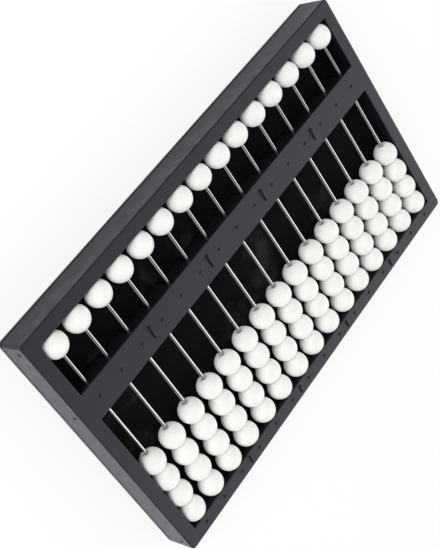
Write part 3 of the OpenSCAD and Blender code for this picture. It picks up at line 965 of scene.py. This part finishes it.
def studio_floor():
    """A pale floor that is white to the eye and keeps a soft shadow under the object."""
    shape = bmesh.new()
    bmesh.ops.create_grid(shape, x_segments=1, y_segments=1, size=FLOOR_REACH)
    bmesh.ops.translate(shape, verts=shape.verts, vec=(0, 0, -FLOOR_DROP))
    floor = from_bmesh("floor", shape)
    material = bpy.data.materials.new("studio_floor")
    material.use_nodes = True
    tree = material.node_tree
    tree.nodes.clear()
    paper = add(tree, "ShaderNodeBsdfDiffuse", {"Color": linear("#fafafa")})
    glow = add(tree, "ShaderNodeEmission", {"Color": (1, 1, 1, 1), "Strength": 1})
    rays = add(tree, "ShaderNodeLightPath")
    links = {0: rays.outputs["Is Glossy Ray"], 1: rays.outputs["Is Transmission Ray"]}
    mirrored = add(tree, "ShaderNodeMath", links, operation="MAXIMUM")
    links = {0: mirrored.outputs[0], 1: FLOOR_GLOW_MIRRORED}
    mirror_share = add(tree, "ShaderNodeMath", links, operation="MULTIPLY")
    links = {0: rays.outputs["Is Camera Ray"], 1: FLOOR_GLOW_SEEN, 2: mirror_share.outputs[0]}
    share = add(tree, "ShaderNodeMath", links, operation="MULTIPLY_ADD")
    links = {0: share.outputs[0], 1: paper.outputs[0], 2: glow.outputs[0]}
    mixed = add(tree, "ShaderNodeMixShader", links)
    add(tree, "ShaderNodeOutputMaterial", {"Surface": mixed.outputs[0]})
    floor.data.materials.append(material)


def studio_world():
    """A tent round the object: a white cloth beyond the bottom rail, a greyer one on the camera's side, and
    a small white card to the right that gives the rods their glint."""
    world = bpy.data.worlds.new("studio_world")
    world.use_nodes = True
    tree = world.node_tree
    tree.nodes.clear()
    direction = add(tree, "ShaderNodeTexCoord").outputs["Generated"]
    camera_side = (CAMERA_PLACE - CAMERA_TARGET).xy.normalized().to_3d()
    # Each has its strength and its limits: a side, and how far a direction leans to that side, as a cosine,
    # where the cloth starts and where it is whole
    white_cloth = (2.15, (((0.25, -0.97, 0), 0.28, 0.7), ((1, 0, 0), -0.35, 0.2), ((0, 0, 1), 0, 0.4)))
    grey_cloth = (0.8, ((camera_side, -0.05, 0.5),))
    white_card = (1.9, (((0.89, -0.39, 0.25), 0.965, 0.985),))
    strength = 0
    for brightness, limits in (white_cloth, grey_cloth, white_card):
        for side, starts, whole in limits:
            lean = add(tree, "ShaderNodeVectorMath", {0: direction, 1: side}, operation="DOT_PRODUCT")
            links = {"Value": lean.outputs["Value"], "From Min": starts, "From Max": whole}
            share = add(tree, "ShaderNodeMapRange", links)
            links = {0: brightness, 1: share.outputs[0]}
            brightness = add(tree, "ShaderNodeMath", links, operation="MULTIPLY").outputs[0]
        strength = add(tree, "ShaderNodeMath", {0: strength, 1: brightness}, operation="ADD").outputs[0]
    cloth = add(tree, "ShaderNodeBackground", {"Color": (1, 1, 1, 1), "Strength": strength})
    add(tree, "ShaderNodeOutputWorld", {"Surface": cloth.outputs[0]})
    bpy.context.scene.world = world


def soft_box(name, place, size, power):
    """A square area light that faces the object and does not show in its reflections."""
    light = bpy.data.lights.new(name, "AREA")
    light.size = size
    light.energy = power
    lamp = bpy.data.objects.new(name, light)
    lamp.location = place
    lamp.rotation_euler = (CAMERA_TARGET - Vector(place)).to_track_quat("-Z", "Y").to_euler()
    lamp.visible_glossy = False
    bpy.context.scene.collection.objects.link(lamp)


def studio_camera():
    """The camera at the photograph's angle, turned about its own axis as the photograph is."""
    lens = bpy.data.cameras.new("camera")
    lens.lens = CAMERA_LENS
    lens.sensor_width = CAMERA_SENSOR
    camera = bpy.data.objects.new("camera", lens)
    camera.location = CAMERA_PLACE
    view = (CAMERA_TARGET - CAMERA_PLACE).to_track_quat("-Z", "Y")
    camera.rotation_euler = (view.to_matrix() @ Matrix.Rotation(CAMERA_ROLL, 3, "Z")).to_euler()
    bpy.context.scene.collection.objects.link(camera)
    bpy.context.scene.camera = camera


def build():
    """The camera, every piece of the abacus on its body, and the studio."""
    bpy.context.scene.view_settings.view_transform = "Standard"
    studio_camera()
    abs_plastic = charcoal_abs()
    steel = drawn_steel("drawn_rod_steel", "#c4c6c8", 0.12, 0.2, along=1)
    zinc = drawn_steel("zinc_plated_screw_steel", "#b4b7bb", 0.3, 0.42, along=2)
    wire = drawn_steel("dull_drawn_wire", "#7c7d80", 0.35, 0.5, along=0)
    turned = turned_rows_tree()
    raised = raised_lines_tree()
    dress(frame_moulding(abs_plastic), "frame", "frame_moulding", "frame")
    dress(cover_moulding(abs_plastic), "frame", "frame_moulding", "back_cover")
    dot_piece(turned, abs_plastic)
    line_pieces(raised, abs_plastic)
    rod_piece(turned, steel)
    bead_pieces(turned, white_plastic())
    screw_pieces(turned, zinc)
    foot_piece(turned, foot_rubber())
    pad_pieces(felt_slab_tree(), black_felt())
    for node in ("top_wire", "bar_wire", "bottom_wire"):
        paint(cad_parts[node], wire)
    studio_floor()
    studio_world()
    for name, (place, size, power) in SOFT_BOXES.items():
        soft_box(name, place, size, power)


build()
